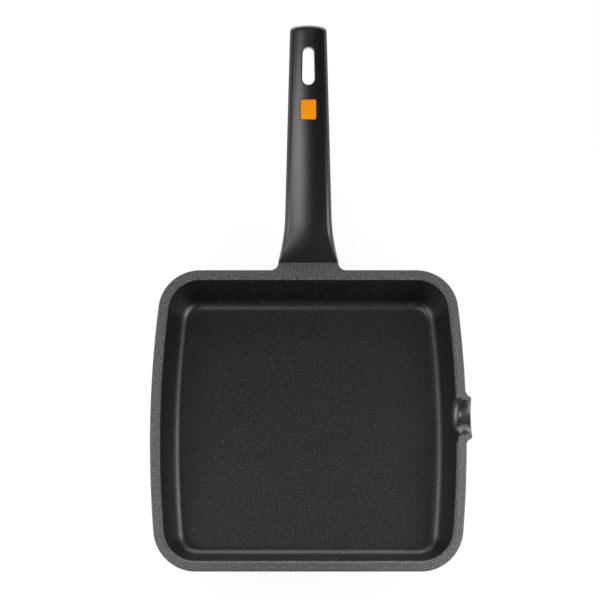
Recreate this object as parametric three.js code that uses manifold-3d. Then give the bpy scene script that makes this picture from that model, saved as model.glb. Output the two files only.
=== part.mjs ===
// Square griddle pan: a cast body with a pouring spout and a handle lug, a steel plate let into its base,
// and a moulded handle that slides over the lug's tang and is held by one screw from below.
// Millimetres, +Z up. The origin is the centre of the base, +Y runs along the handle and +X to the spout.

import * as THREE from "three";
import { mergeVertices } from "three/addons/utils/BufferGeometryUtils.js";
import Module from "manifold-3d";

const wasm = await Module();
wasm.setup();

const radians = THREE.MathUtils.degToRad;

// Fit between pieces
const CLEARANCE = 0.3;

// Pan body: the sides are bowed, the front and the back are straight
const RIM_WIDTH = 281;
const RIM_LENGTH = 271.7;
const SIDE_RADIUS = 1020;
const CORNER_RADIUS = 37.5;
const LEAST_CORNER_RADIUS = 5;
const HEIGHT = 50;
const FLOOR_THICKNESS = 5;
const WALL_THICKNESS = 4;
const WALL_DRAFT = radians(13);
const FLOOR_FILLET = 10;
const BASE_FILLET = 12;
const RIM_LAND = 6.9;
const RIM_CHAMFER_WIDTH = 1.9;
const RIM_CHAMFER_DROP = 1.5;
const RIM_ROUND = 0.8;
const RIM_DEPTH = 7;
const RIM_UNDERCUT = 6;

// Pouring spout in the right-hand side
const SPOUT_REACH = 4.9;
const SPOUT_FLARE_RADIUS = 8;
const SPOUT_HORN = 0.7;
const SPOUT_MOUTH = 44.6;
const SPOUT_THROAT = 31.2;
const SPOUT_TIP = 34;
const SPOUT_FUNNEL = 7.5;
const SPOUT_DEPTH = 9.5;
const SPOUT_LIP_DEPTH = 14;
const SPOUT_ROOT_DEPTH = 27;

// Lug on the back of the rim, and the tang inside the handle
const LUG_REACH = 7.4;
const LUG_FILLET = 7;
const TANG_WIDTH = 26;
const TANG_THICKNESS = 7;
const TANG_LENGTH = 32;
const TANG_COVER = 4.7;

// Steel plate in the base, pierced by studs of the casting
const PLATE_THICKNESS = 1.2;
const PLATE_MARGIN = 20;
const PLATE_CORNER_RADIUS = 24;
const STUD_DIAMETER = 6;
const STUD_PITCH = 30;
const STUD_EDGE = 14;

// Handle: distances run along its top line, from the lug to the tip
const HANDLE_LENGTH = 214.3;
const NECK_LENGTH = 36;
const NECK_ANGLE = radians(34);
const GRIP_ANGLE = radians(22);
const TIP_ANGLE = radians(15);
const ROOT_WIDTH = 54.7;
const GRIP_WIDTH = 44.9;
const TIP_WIDTH = 33.4;
const FLARE_LENGTH = 42;
const ROOT_THICKNESS = 22;
const TIP_THICKNESS = 13.5;
const TOP_CROWN = 2;
const FLANK_WIDTH = 4.3;
const FLANK_AT_ROOT = 0.3;
const FLANK_BLEND = 30;
const FLANK_FOLD_WIDTH_SHARE = 0.47;
const FLANK_FOLD_DEPTH_SHARE = 0.31;
const SHOULDER_DEPTH = 6.5;
const UNDERSIDE_SQUARENESS = 2.7;
const TIP_CORNER_RADIUS = 4.2;
const TIP_EDGE_DROP = 2.5;
const TIP_UNDERSIDE_RISE = 5;
const TIP_BOW = 1.2;
const TIP_BOW_BLEND = 25;

// Hang slot through the handle, and the coloured inlay in its top
const SLOT_FROM_TIP = 19.5;
const SLOT_LENGTH = 34;
const SLOT_TIP_WIDTH = 10.1;
const SLOT_NECK_WIDTH = 11.2;
const SLOT_EDGE_ROUND = 1;
const SLOT_UNDERSIDE_ROUND = 3;
const INLAY_FROM_TIP = 66.7;
const INLAY_LENGTH = 18;
const INLAY_WIDTH = 14.5;
const INLAY_THICKNESS = 1.4;
const INLAY_CORNER_RADIUS = 1.2;

// Screw, washers and threaded insert
const SCREW_FROM_LUG = 17;
const SCREW_DIAMETER = 5;
const SCREW_HEAD_DIAMETER = 9.4;
const SCREW_HEAD_HEIGHT = 2.8;
const RECESS_LENGTH = 5;
const RECESS_WIDTH = 1.1;
const RECESS_DEPTH = 1.6;
const CLAMP_WALL = 3.6;
const WASHER_DIAMETER = 10;
const FLAT_WASHER_THICKNESS = 0.8;
const SPRING_WASHER_DIAMETER = 9;
const SPRING_WASHER_THICKNESS = 1.2;
const SPRING_WASHER_SLIT = 1.2;
const SPRING_WASHER_SLANT = radians(30);
const INSERT_DIAMETER = 7.4;

// How far a cutting shape runs past the faces that it cuts
const OVERRUN = 4;
// How deep a joined shape is sunk into its neighbour before they become one
const SINK = 0.3;
// Points closer than this are one point
const SAME_POINT = 1e-4;

// Number of steps along the curves
const CORNER_STEPS = 8;
const SIDE_STEPS = 12;
const FILLET_STEPS = 5;
const CIRCLE_STEPS = 24;
const STUD_STEPS = 12;
const SECTION_TOP_STEPS = 4;
const SECTION_UNDER_STEPS = 7;
const HANDLE_STEPS = 26;
const TIP_STEPS = 4;
const SPOUT_STEPS = 6;
const CHANNEL_STEPS = 14;
const CHANNEL_TIP_STEPS = 3;
const INLAY_CORNER_STEPS = 2;

// Closed solids from three.js geometry, and back
function solidOf(geometry) {
  const bare = new THREE.BufferGeometry();
  bare.setAttribute("position", geometry.getAttribute("position"));
  bare.setIndex(geometry.index);
  const merged = mergeVertices(bare, SAME_POINT);
  const corners = merged.index.array;
  const triVerts = [];
  for (let i = 0; i < corners.length; i += 3) {
    const [a, b, c] = corners.slice(i, i + 3);
    if (a !== b && b !== c && c !== a) {
      triVerts.push(a, b, c);
    }
  }
  const vertProperties = merged.getAttribute("position").array;
  const mesh = new wasm.Mesh({ numProp: 3, vertProperties, triVerts: new Uint32Array(triVerts) });
  return new wasm.Manifold(mesh);
}

function meshOf(name, solid, material) {
  const { vertProperties, triVerts } = solid.getMesh();
  const geometry = new THREE.BufferGeometry();
  geometry.setAttribute("position", new THREE.BufferAttribute(new Float32Array(vertProperties), 3));
  geometry.setIndex([...triVerts]);
  geometry.computeVertexNormals();
  const mesh = new THREE.Mesh(geometry, material);
  mesh.name = name;
  return mesh;
}

function finish(color, roughness, metalness) {
  return new THREE.MeshStandardMaterial({ color, roughness, metalness });
}

// A solid through closed rings of equal point counts, each end closed by a fan about its middle
function loft(rings) {
  const count = rings[0].length;
  const points = rings.flat();
  const index = [];
  for (let ring = 0; ring + 1 < rings.length; ring += 1) {
    for (let i = 0; i < count; i += 1) {
      const a = ring * count + i;
      const b = ring * count + (i + 1) % count;
      index.push(a, b, b + count, a, b + count, a + count);
    }
  }
  const last = (rings.length - 1) * count;
  const firstMiddle = points.length;
  points.push(middleOf(rings[0]), middleOf(rings.at(-1)));
  for (let i = 0; i < count; i += 1) {
    const next = (i + 1) % count;
    index.push(firstMiddle, next, i, firstMiddle + 1, last + i, last + next);
  }
  const geometry = new THREE.BufferGeometry().setFromPoints(points);
  geometry.setIndex(index);
  return solidOf(geometry);
}

function middleOf(ring) {
  const sum = new THREE.Vector3();
  ring.forEach((point) => sum.add(point));
  return sum.divideScalar(ring.length);
}

function prism(shape, depth, matrix = new THREE.Matrix4(), curveSegments = CIRCLE_STEPS / 2) {
  const geometry = new THREE.ExtrudeGeometry(shape, { depth, curveSegments, bevelEnabled: false });
  return solidOf(geometry.applyMatrix4(matrix));
}

function block(width, length, height, matrix = new THREE.Matrix4()) {
  return solidOf(new THREE.BoxGeometry(width, length, height).applyMatrix4(matrix));
}

// A solid turned about Z from (radius, z) points that start and end on the axis or close on themselves
function turned(profile) {
  const points = profile.map(([radius, z]) => new THREE.Vector2(radius, z));
  return solidOf(new THREE.LatheGeometry(points, CIRCLE_STEPS).rotateX(Math.PI / 2));
}

function cylinder(radius, bottom, top) {
  return turned([[0, bottom], [radius, bottom], [radius, top], [0, top]]);
}

function tubeRing(inner, outer, bottom, top) {
  return turned([[inner, bottom], [outer, bottom], [outer, top], [inner, top], [inner, bottom]]);
}

function roundedRectangle(width, length, radius) {
  const path = new THREE.Shape();
  const x = width / 2 - radius;
  const y = length / 2 - radius;
  path.absarc(x, y, radius, 0, Math.PI / 2);
  path.absarc(-x, y, radius, Math.PI / 2, Math.PI);
  path.absarc(-x, -y, radius, Math.PI, Math.PI * 1.5);
  path.absarc(x, -y, radius, Math.PI * 1.5, Math.PI * 2);
  return path;
}

function arc(x, y, radius, from, to, steps) {
  const points = [];
  for (let i = 0; i <= steps; i += 1) {
    const angle = THREE.MathUtils.lerp(from, to, i / steps);
    points.push(new THREE.Vector2(x + radius * Math.cos(angle), y + radius * Math.sin(angle)));
  }
  return points;
}

// The pan's outline seen from above, moved in from the rim's edge
function sideEdge(y) {
  return RIM_WIDTH / 2 - SIDE_RADIUS + Math.sqrt(SIDE_RADIUS ** 2 - y ** 2);
}

function panOutline(inset) {
  const sideRadius = SIDE_RADIUS - inset;
  const cornerRadius = Math.max(CORNER_RADIUS - inset, LEAST_CORNER_RADIUS);
  const sideMiddle = RIM_WIDTH / 2 - SIDE_RADIUS;
  const cornerY = RIM_LENGTH / 2 - inset - cornerRadius;
  const cornerX = sideMiddle + Math.sqrt((sideRadius - cornerRadius) ** 2 - cornerY ** 2);
  const meet = Math.asin(cornerY / (sideRadius - cornerRadius));
  const half = [
    ...arc(cornerX, -cornerY, cornerRadius, -Math.PI / 2, -meet, CORNER_STEPS),
    ...arc(sideMiddle, 0, sideRadius, -meet, meet, SIDE_STEPS).slice(1, -1),
    ...arc(cornerX, cornerY, cornerRadius, meet, Math.PI / 2, CORNER_STEPS),
  ];
  const otherHalf = half.map((point) => new THREE.Vector2(-point.x, -point.y));
  return [...half, ...otherHalf];
}

function panRing(inset, z) {
  return panOutline(inset).map((point) => new THREE.Vector3(point.x, point.y, z));
}

// The wall's two faces: how far in they lie from the rim's edge at a height
function innerInset(z) {
  return RIM_LAND + RIM_CHAMFER_WIDTH + (HEIGHT - RIM_CHAMFER_DROP - z) * Math.tan(WALL_DRAFT);
}

function outerInset(z) {
  return innerInset(z) - WALL_THICKNESS / Math.cos(WALL_DRAFT);
}

// The fillet from a flat at a height into a wall face, as (inset, z) points from the flat upwards
function filletProfile(flat, radius, wallInset) {
  const middle = wallInset(flat + radius) + radius / Math.cos(WALL_DRAFT);
  return arc(middle, flat + radius, radius, Math.PI * 1.5, Math.PI + WALL_DRAFT, FILLET_STEPS);
}

const baseProfile = filletProfile(0, BASE_FILLET, outerInset);
const baseInset = baseProfile[0].x;

function outerForm() {
  const undercut = HEIGHT - RIM_DEPTH - RIM_UNDERCUT;
  const profile = [
    ...baseProfile.map((point) => [point.x, point.y]),
    [outerInset(undercut), undercut],
    [0, HEIGHT - RIM_DEPTH],
    [0, HEIGHT - RIM_ROUND],
    [RIM_ROUND, HEIGHT],
  ];
  return loft(profile.map(([inset, z]) => panRing(inset, z)));
}

function cavityForm() {
  const fillet = filletProfile(FLOOR_THICKNESS, FLOOR_FILLET, innerInset);
  const profile = [
    ...fillet.map((point) => [point.x, point.y]),
    [RIM_LAND + RIM_CHAMFER_WIDTH, HEIGHT - RIM_CHAMFER_DROP],
    [RIM_LAND, HEIGHT],
    [RIM_LAND, HEIGHT + OVERRUN],
  ];
  return loft(profile.map(([inset, z]) => panRing(inset, z)));
}

// The spout's lip: two horns that flare out of the rim, running down into the wall
function spoutLip() {
  const reach = SPOUT_REACH + SINK;
  const flare = Math.acos(1 - reach / SPOUT_FLARE_RADIUS);
  const hornY = SPOUT_TIP / 2 + SPOUT_HORN;
  const innerX = RIM_WIDTH / 2 - innerInset(HEIGHT - SPOUT_ROOT_DEPTH);
  const lower = arc(0, 0, 1, 0, flare, SPOUT_STEPS).map((turn) => ({
    y: -hornY + SPOUT_FLARE_RADIUS * (turn.y - Math.sin(flare)),
    out: SPOUT_FLARE_RADIUS * (1 - turn.x),
  }));
  const upper = lower.map(({ y, out }) => ({ y: -y, out })).reverse();
  const ring = (z, sunk, share) => {
    const edge = [...lower, ...upper].map(({ y, out }) => [sideEdge(y) - sunk + out * share, y]);
    const inner = [upper.at(-1), lower[0]].map(({ y }) => [innerX, y]);
    return [...edge, ...inner].map(([x, y]) => new THREE.Vector3(x, y, z));
  };
  const root = HEIGHT - SPOUT_ROOT_DEPTH;
  return loft([
    ring(root, outerInset(root) + SINK, 0),
    ring(HEIGHT - SPOUT_LIP_DEPTH, SINK, 1),
    ring(HEIGHT, SINK, 1),
  ]);
}

// The spout's channel: an arc in section, drawn in from the mouth to the throat and wider again at the tip
function channelHalfWidth(fromLand) {
  const throat = SPOUT_THROAT / 2;
  if (fromLand < SPOUT_FUNNEL) {
    const share = Math.min(1, 1 - fromLand / SPOUT_FUNNEL);
    return SPOUT_MOUTH / 2 - (SPOUT_MOUTH / 2 - throat) * Math.sqrt(1 - share ** 2);
  }
  const share = (fromLand - SPOUT_FUNNEL) / (RIM_LAND + SPOUT_REACH - SPOUT_FUNNEL);
  return throat + (SPOUT_TIP / 2 - throat) * share ** 2;
}

// The arc's points, across as a share of the half width and down from the rim's top
function channelBowl() {
  const throat = SPOUT_THROAT / 2;
  const radius = (throat ** 2 + SPOUT_DEPTH ** 2) / (2 * SPOUT_DEPTH);
  const slope = Math.asin(throat / radius);
  const down = -Math.PI / 2;
  const bowl = arc(0, radius - SPOUT_DEPTH, radius, down - slope, down + slope, CHANNEL_STEPS);
  return bowl.map((point) => [point.x / throat, point.y]);
}

function spoutChannel() {
  const landX = RIM_WIDTH / 2 - RIM_LAND;
  const start = RIM_LAND - innerInset(HEIGHT - SPOUT_DEPTH) - OVERRUN;
  const end = RIM_LAND + SPOUT_REACH;
  const turns = arc(0, 0, SPOUT_FUNNEL, 0, Math.PI / 2, SPOUT_STEPS);
  const funnel = turns.map((turn) => SPOUT_FUNNEL - turn.x);
  const stations = [start, ...funnel];
  for (let i = 1; i <= CHANNEL_TIP_STEPS; i += 1) {
    stations.push(THREE.MathUtils.lerp(SPOUT_FUNNEL, end, i / CHANNEL_TIP_STEPS));
  }
  stations.push(end + OVERRUN);
  const bowl = channelBowl();
  return loft(stations.map((fromLand) => {
    const halfWidth = channelHalfWidth(Math.min(fromLand, end));
    const section = bowl.map(([across, height]) => [halfWidth * across, HEIGHT + height]);
    const ring = [[-halfWidth, HEIGHT + OVERRUN], ...section, [halfWidth, HEIGHT + OVERRUN]];
    return ring.map(([y, z]) => new THREE.Vector3(landX + fromLand, y, z));
  }));
}

// The handle's section: a crowned top, flanks folded outwards and a rounded underside, as (x, height) points
function handleSection({ halfWidth, flank, crown, thickness, shoulder }) {
  const right = [];
  for (let i = 0; i <= SECTION_TOP_STEPS; i += 1) {
    const share = i / SECTION_TOP_STEPS;
    right.push([(halfWidth - flank) * share, -crown * share ** 2]);
  }
  const foldWidth = THREE.MathUtils.lerp(halfWidth - flank, halfWidth, FLANK_FOLD_WIDTH_SHARE);
  const foldDepth = THREE.MathUtils.lerp(crown, shoulder, FLANK_FOLD_DEPTH_SHARE);
  right.push([foldWidth, -foldDepth]);
  for (let i = 0; i <= SECTION_UNDER_STEPS; i += 1) {
    const angle = Math.PI / 2 * i / SECTION_UNDER_STEPS;
    const x = i < SECTION_UNDER_STEPS ? halfWidth * Math.cos(angle) ** (2 / UNDERSIDE_SQUARENESS) : 0;
    right.push([x, -shoulder - (thickness - shoulder) * Math.sin(angle) ** (2 / UNDERSIDE_SQUARENESS)]);
  }
  const left = right.slice(1, -1).map(([x, height]) => [-x, height]).reverse();
  return [...right, ...left];
}

const rootSection = {
  halfWidth: ROOT_WIDTH / 2,
  flank: FLANK_AT_ROOT,
  crown: 0,
  thickness: ROOT_THICKNESS,
  shoulder: SHOULDER_DEPTH,
};

// The lug carries the handle's first section, upright, and spreads into the rim with a fillet on each side
const lugFace = RIM_LENGTH / 2 + LUG_REACH;
const handleOrigin = new THREE.Vector3(0, lugFace, HEIGHT);

function lugForm() {
  const radius = Math.min(LUG_FILLET, LUG_REACH);
  const root = RIM_LENGTH / 2 - SINK;
  const turns = arc(0, 0, radius, 0, Math.PI / 2, FILLET_STEPS);
  const fillet = turns.map((turn) => [root + radius - turn.x, radius - turn.y]);
  const inside = RIM_LENGTH / 2 - innerInset(HEIGHT - ROOT_THICKNESS / Math.cos(NECK_ANGLE)) - OVERRUN;
  return loft([[inside, radius], ...fillet, [lugFace, 0]].map(([y, spread]) => {
    const section = handleSection({ ...rootSection, halfWidth: rootSection.halfWidth + spread });
    return section.map(([x, height]) => new THREE.Vector3(x, y, HEIGHT + height / Math.cos(NECK_ANGLE)));
  }));
}

// The tang points along the chord of the handle's neck, in a frame of its own on the lug's face
const tangAngle = (NECK_ANGLE + GRIP_ANGLE) / 2;
const tangDepth = (TANG_COVER + CLEARANCE + TANG_THICKNESS / 2) / Math.cos(tangAngle);
const tangFrame = new THREE.Matrix4().makeRotationX(tangAngle).setPosition(0, 0, -tangDepth);
const screwFrame = tangFrame.clone().multiply(new THREE.Matrix4().makeTranslation(0, SCREW_FROM_LUG, 0));
const intoPan = new THREE.Matrix4().setPosition(handleOrigin);

function onPan(matrix) {
  return intoPan.clone().multiply(matrix);
}

function moved(solid, matrix) {
  return solid.transform(matrix.elements);
}

function tangForm() {
  const length = TANG_LENGTH + LUG_REACH;
  const middle = new THREE.Matrix4().makeTranslation(0, TANG_LENGTH - length / 2, 0);
  return block(TANG_WIDTH, length, TANG_THICKNESS, onPan(tangFrame.clone().multiply(middle)));
}

function insertBore() {
  const reach = TANG_THICKNESS / 2 + OVERRUN;
  return moved(cylinder(INSERT_DIAMETER / 2 + CLEARANCE, -reach, reach), onPan(screwFrame));
}

// The base plate's outline with its pattern of holes
const plateWidth = RIM_WIDTH - 2 * (baseInset + PLATE_MARGIN);
const plateLength = RIM_LENGTH - 2 * (baseInset + PLATE_MARGIN);

function patternPlaces(size) {
  const count = 2 * Math.floor((size - 2 * STUD_EDGE + STUD_PITCH) / STUD_PITCH / 2);
  return Array.from({ length: count }, (_, i) => (i - (count - 1) / 2) * STUD_PITCH);
}

function plateShape(grow) {
  const shape = roundedRectangle(plateWidth + 2 * grow, plateLength + 2 * grow, PLATE_CORNER_RADIUS + grow);
  for (const x of patternPlaces(plateWidth)) {
    for (const y of patternPlaces(plateLength)) {
      const hole = new THREE.Path();
      hole.absarc(x, y, STUD_DIAMETER / 2 - grow, 0, Math.PI * 2);
      shape.holes.push(hole);
    }
  }
  return shape;
}

function panBody() {
  const below = new THREE.Matrix4().makeTranslation(0, 0, -OVERRUN);
  const pocket = prism(plateShape(CLEARANCE), PLATE_THICKNESS + CLEARANCE + OVERRUN, below, STUD_STEPS / 2);
  const solid = outerForm()
    .add(spoutLip())
    .add(lugForm())
    .subtract(cavityForm())
    .add(tangForm())
    .subtract(insertBore())
    .subtract(spoutChannel())
    .subtract(pocket);
  return meshOf("pan_body", solid, finish(0x4b4c50, 0.42, 0.35));
}

function inductionPlate() {
  const solid = prism(plateShape(0), PLATE_THICKNESS, new THREE.Matrix4(), STUD_STEPS / 2);
  return meshOf("induction_plate", solid, finish(0xa9abad, 0.35, 1));
}

// The handle's top line: an arc through the neck, then a flatter arc to the tip
function alongArc(start, endAngle, length, distance) {
  const halfTurn = (endAngle - start.angle) * distance / length / 2;
  const chord = halfTurn === 0 ? distance : distance * Math.sin(halfTurn) / halfTurn;
  const direction = start.angle + halfTurn;
  return {
    y: start.y + chord * Math.cos(direction),
    z: start.z + chord * Math.sin(direction),
    angle: start.angle + 2 * halfTurn,
  };
}

function topLine(distance) {
  const start = { y: 0, z: 0, angle: NECK_ANGLE };
  const neck = alongArc(start, GRIP_ANGLE, NECK_LENGTH, Math.min(distance, NECK_LENGTH));
  if (distance <= NECK_LENGTH) {
    return neck;
  }
  return alongArc(neck, TIP_ANGLE, HANDLE_LENGTH - NECK_LENGTH, distance - NECK_LENGTH);
}

function topFrame(distance, height = 0) {
  const { y, z, angle } = topLine(distance);
  const lift = new THREE.Matrix4().makeTranslation(0, 0, height);
  return new THREE.Matrix4().makeRotationX(angle).setPosition(0, y, z).multiply(lift);
}

function handleHalfWidth(distance) {
  const taper = THREE.MathUtils.lerp(GRIP_WIDTH, TIP_WIDTH, distance / HANDLE_LENGTH) / 2;
  const spread = (ROOT_WIDTH - GRIP_WIDTH) / 2;
  const radius = (FLARE_LENGTH ** 2 + spread ** 2) / (2 * spread);
  const left = THREE.MathUtils.clamp(FLARE_LENGTH - distance, 0, FLARE_LENGTH);
  return taper + radius - Math.sqrt(radius ** 2 - left ** 2);
}

function handleThickness(distance) {
  return THREE.MathUtils.lerp(ROOT_THICKNESS, TIP_THICKNESS, Math.max(distance, 0) / HANDLE_LENGTH);
}

// One ring of the handle: rounding runs from 0 before the tip's edge to 1 at the end face
function handleRing(distance, rounding = 0) {
  const share = THREE.MathUtils.clamp(distance / FLANK_BLEND, 0, 1);
  const blend = Math.sin(share * Math.PI / 2);
  const drop = TIP_EDGE_DROP * rounding;
  const section = handleSection({
    halfWidth: handleHalfWidth(Math.max(distance, 0)) - TIP_CORNER_RADIUS * rounding,
    flank: THREE.MathUtils.lerp(FLANK_AT_ROOT, FLANK_WIDTH, blend),
    crown: TOP_CROWN * blend,
    thickness: handleThickness(distance) - drop - TIP_UNDERSIDE_RISE * rounding,
    shoulder: SHOULDER_DEPTH - drop,
  });
  const frame = topFrame(distance, -drop);
  const bowShare = THREE.MathUtils.smoothstep(distance, HANDLE_LENGTH - TIP_BOW_BLEND, HANDLE_LENGTH);
  const bow = (x) => -TIP_BOW * bowShare * (x / (TIP_WIDTH / 2)) ** 2;
  return section.map(([x, height]) => new THREE.Vector3(x, bow(x), height).applyMatrix4(frame));
}

function handleLoft() {
  const rings = [handleRing(-ROOT_THICKNESS)];
  const roundStart = HANDLE_LENGTH - TIP_CORNER_RADIUS;
  for (let i = 0; i <= HANDLE_STEPS; i += 1) {
    rings.push(handleRing(roundStart * i / HANDLE_STEPS));
  }
  for (const turn of arc(0, 0, 1, 0, Math.PI / 2, TIP_STEPS).slice(1)) {
    rings.push(handleRing(roundStart + TIP_CORNER_RADIUS * turn.y, 1 - turn.x));
  }
  return loft(rings);
}

// The hang slot narrows towards the tip, and its edges are rounded above and below
const slotPlace = HANDLE_LENGTH - SLOT_FROM_TIP - SLOT_LENGTH / 2;

function slotRing(grow, height) {
  const neckRadius = SLOT_NECK_WIDTH / 2;
  const tipRadius = SLOT_TIP_WIDTH / 2;
  const outline = [
    ...arc(0, -SLOT_LENGTH / 2 + neckRadius, neckRadius + grow, Math.PI, Math.PI * 2, CIRCLE_STEPS / 2),
    ...arc(0, SLOT_LENGTH / 2 - tipRadius, tipRadius + grow, 0, Math.PI, CIRCLE_STEPS / 2),
  ];
  const frame = topFrame(slotPlace);
  return outline.map((point) => new THREE.Vector3(point.x, point.y, height).applyMatrix4(frame));
}

function slotCut() {
  const bottom = -handleThickness(slotPlace);
  const below = arc(SLOT_UNDERSIDE_ROUND, bottom + SLOT_UNDERSIDE_ROUND, SLOT_UNDERSIDE_ROUND,
    Math.PI * 1.5, Math.PI, FILLET_STEPS);
  const above = arc(SLOT_EDGE_ROUND, -SLOT_EDGE_ROUND, SLOT_EDGE_ROUND, Math.PI, Math.PI / 2, FILLET_STEPS);
  return loft([
    slotRing(SLOT_UNDERSIDE_ROUND, bottom - OVERRUN),
    ...[...below, ...above].map((point) => slotRing(point.x, point.y)),
    slotRing(SLOT_EDGE_ROUND, OVERRUN),
  ]);
}

const inlayPlace = HANDLE_LENGTH - INLAY_FROM_TIP - INLAY_LENGTH / 2;

function inlayRecess() {
  const grow = 2 * CLEARANCE;
  const shape = roundedRectangle(INLAY_WIDTH + grow, INLAY_LENGTH + grow, INLAY_CORNER_RADIUS + CLEARANCE);
  const floor = -INLAY_THICKNESS - CLEARANCE;
  return prism(shape, OVERRUN - floor, topFrame(inlayPlace, floor), INLAY_CORNER_STEPS);
}

// Heights in the screw's frame, from the tang's middle down to the screw's head
const clampFace = -(TANG_THICKNESS / 2 + CLEARANCE + CLAMP_WALL);
const flatWasherTop = clampFace - CLEARANCE;
const springWasherTop = flatWasherTop - FLAT_WASHER_THICKNESS - CLEARANCE;
const headTop = springWasherTop - SPRING_WASHER_THICKNESS - CLEARANCE;
const headBottom = headTop - SCREW_HEAD_HEIGHT;
const screwEnd = TANG_THICKNESS / 2 - CLEARANCE;
const holeRadius = SCREW_DIAMETER / 2 + CLEARANCE;

function socketCut() {
  const length = TANG_LENGTH + CLEARANCE + OVERRUN;
  const middle = new THREE.Matrix4().makeTranslation(0, TANG_LENGTH + CLEARANCE - length / 2, 0);
  const frame = tangFrame.clone().multiply(middle);
  return block(TANG_WIDTH + 2 * CLEARANCE, length, TANG_THICKNESS + 2 * CLEARANCE, frame);
}

function screwCut() {
  const below = -ROOT_THICKNESS - OVERRUN;
  const bore = cylinder(holeRadius, below, 0);
  const counterbore = cylinder(WASHER_DIAMETER / 2 + CLEARANCE, below, clampFace);
  return moved(bore.add(counterbore), screwFrame);
}

// Everything behind the joint with the lug's face
function lugSideCut() {
  const size = 2 * ROOT_THICKNESS + 2 * ROOT_WIDTH;
  return block(size, size, size, new THREE.Matrix4().makeTranslation(0, CLEARANCE - size / 2, 0));
}

function handle() {
  const solid = handleLoft()
    .subtract(lugSideCut())
    .subtract(socketCut())
    .subtract(screwCut())
    .subtract(slotCut())
    .subtract(inlayRecess());
  return meshOf("handle", solid, finish(0x1c1c1e, 0.38, 0));
}

function colourInlay() {
  const shape = roundedRectangle(INLAY_WIDTH, INLAY_LENGTH, INLAY_CORNER_RADIUS);
  const solid = prism(shape, INLAY_THICKNESS, new THREE.Matrix4(), INLAY_CORNER_STEPS);
  const inlay = meshOf("colour_inlay", solid, finish(0xfd9402, 0.35, 0));
  inlay.applyMatrix4(topFrame(inlayPlace, -INLAY_THICKNESS));
  return inlay;
}

function handleScrew() {
  const head = SCREW_HEAD_DIAMETER / 2;
  const crown = SCREW_HEAD_HEIGHT / 2;
  const round = arc(head - crown, headBottom + crown, crown, -Math.PI / 2, 0, FILLET_STEPS);
  const profile = [
    [0, headBottom],
    ...round.map((point) => [point.x, point.y]),
    [head, headTop],
    [SCREW_DIAMETER / 2, headTop],
    [SCREW_DIAMETER / 2, screwEnd - CLEARANCE],
    [SCREW_DIAMETER / 2 - CLEARANCE, screwEnd],
    [0, screwEnd],
  ];
  const depth = RECESS_DEPTH + OVERRUN;
  const place = new THREE.Matrix4().makeTranslation(0, 0, headBottom + RECESS_DEPTH - depth / 2);
  const lengthwise = block(RECESS_WIDTH, RECESS_LENGTH, depth, place);
  const crosswise = block(RECESS_LENGTH, RECESS_WIDTH, depth, place);
  const solid = turned(profile).subtract(lengthwise).subtract(crosswise);
  return meshOf("handle_screw", solid, finish(0xb8babd, 0.3, 1));
}

function flatWasher() {
  const bottom = flatWasherTop - FLAT_WASHER_THICKNESS;
  const ring = tubeRing(holeRadius, WASHER_DIAMETER / 2, bottom, flatWasherTop);
  return meshOf("flat_washer", ring, finish(0xb8babd, 0.35, 1));
}

function springWasher() {
  const bottom = springWasherTop - SPRING_WASHER_THICKNESS;
  const ring = tubeRing(holeRadius, SPRING_WASHER_DIAMETER / 2, bottom, springWasherTop);
  const slant = new THREE.Matrix4().makeRotationX(SPRING_WASHER_SLANT);
  const middle = bottom + SPRING_WASHER_THICKNESS / 2;
  const place = new THREE.Matrix4().makeTranslation(SPRING_WASHER_DIAMETER / 2, 0, middle).multiply(slant);
  const slit = block(SPRING_WASHER_DIAMETER, SPRING_WASHER_SLIT, SPRING_WASHER_DIAMETER, place);
  return meshOf("spring_washer", ring.subtract(slit), finish(0x8f9194, 0.35, 1));
}

function threadedInsert() {
  const ring = tubeRing(holeRadius, INSERT_DIAMETER / 2, -TANG_THICKNESS / 2, TANG_THICKNESS / 2);
  return meshOf("threaded_insert", ring, finish(0xb5924c, 0.35, 1));
}

const fastening = new THREE.Group();
fastening.applyMatrix4(screwFrame);
fastening.add(handleScrew(), springWasher(), flatWasher(), threadedInsert());

const handleAssembly = new THREE.Group();
handleAssembly.position.copy(handleOrigin);
handleAssembly.add(handle(), colourInlay(), fastening);

const griddlePan = new THREE.Group();
griddlePan.add(panBody(), inductionPlate(), handleAssembly);

export default griddlePan;
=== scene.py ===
import math

import bpy
import numpy as np
from mathutils import Matrix, Vector


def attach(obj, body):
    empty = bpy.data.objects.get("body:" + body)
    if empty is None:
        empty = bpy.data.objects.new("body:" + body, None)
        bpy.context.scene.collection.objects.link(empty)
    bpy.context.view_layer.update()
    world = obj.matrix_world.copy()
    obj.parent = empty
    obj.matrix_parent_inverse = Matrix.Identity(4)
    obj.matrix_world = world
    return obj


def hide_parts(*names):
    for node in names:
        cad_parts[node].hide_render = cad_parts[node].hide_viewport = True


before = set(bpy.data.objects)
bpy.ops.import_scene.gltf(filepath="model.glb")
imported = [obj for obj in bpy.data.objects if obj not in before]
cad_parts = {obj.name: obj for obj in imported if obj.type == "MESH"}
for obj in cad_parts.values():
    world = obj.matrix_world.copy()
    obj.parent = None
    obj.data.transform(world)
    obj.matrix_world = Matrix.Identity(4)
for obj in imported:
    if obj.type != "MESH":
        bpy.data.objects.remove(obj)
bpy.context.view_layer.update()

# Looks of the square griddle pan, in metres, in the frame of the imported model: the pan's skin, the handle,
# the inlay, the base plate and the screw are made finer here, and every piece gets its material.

MM = 0.001
QUARTER = math.pi / 2

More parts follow.
